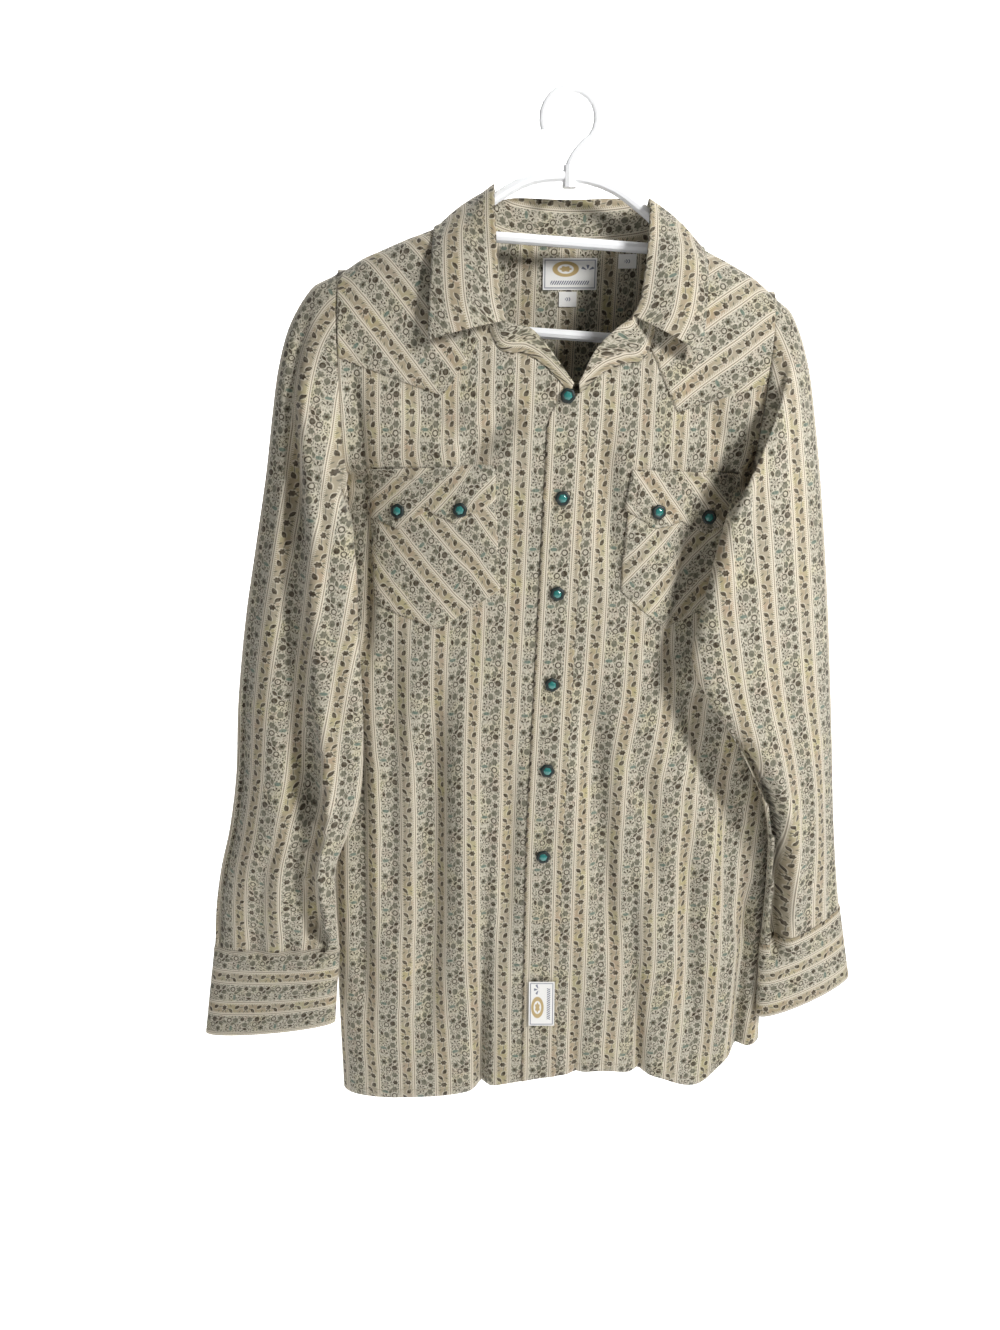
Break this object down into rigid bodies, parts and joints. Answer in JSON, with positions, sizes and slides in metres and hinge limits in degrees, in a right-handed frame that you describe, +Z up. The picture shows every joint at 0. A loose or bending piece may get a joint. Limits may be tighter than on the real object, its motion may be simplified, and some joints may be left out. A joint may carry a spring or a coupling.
{
  "type": "western snap shirt on a tubular hanger",
  "caption": "Long-sleeved western shirt with pointed yokes, flap pockets and snap closures, hanging open-necked on a white tubular hanger.",
  "frame": {"origin": "the point inside the hook where it bears on a rail", "axes": "+Z up, along the hanging shirt; -Y is the way the front faces; +X is to the right of someone facing the front, which is the wearer's left"},
  "size_m": [0.6772, 0.1328, 0.9745],
  "materials": {
    "fabric": "printed woven cotton",
    "label": "smooth woven label",
    "hanger": "smooth moulded",
    "snap": "domed, in a dark ring"
  },
  "bodies": {
    "root": {"back": "fabric", "yoke_back": "fabric", "front_right": "fabric", "front_left": "fabric", "placket": "fabric", "yoke_front_right": "fabric", "yoke_front_left": "fabric", "pocket_right": "fabric", "pocket_left": "fabric", "flap_right": "fabric", "flap_left": "fabric", "sleeve_right": "fabric", "forearm_right": "fabric", "cuff_right": "fabric", "sleeve_left": "fabric", "forearm_left": "fabric", "cuff_left": "fabric", "collar_stand": "fabric", "collar_leaf": "fabric", "label_neck": "label", "label_size": "label", "label_care": "label", "label_placket": "label", "hanger": "hanger", "snap_front_1": "snap", "snap_front_2": "snap", "snap_front_3": "snap", "snap_front_4": "snap", "snap_front_5": "snap", "snap_front_6": "snap", "snap_flap_right_outer": "snap", "snap_flap_right_inner": "snap", "snap_flap_left_inner": "snap", "snap_flap_left_outer": "snap", "snap_cuff_right_1": "snap", "snap_cuff_right_2": "snap", "snap_cuff_left_1": "snap", "snap_cuff_left_2": "snap"}
  },
  "joints": []
}
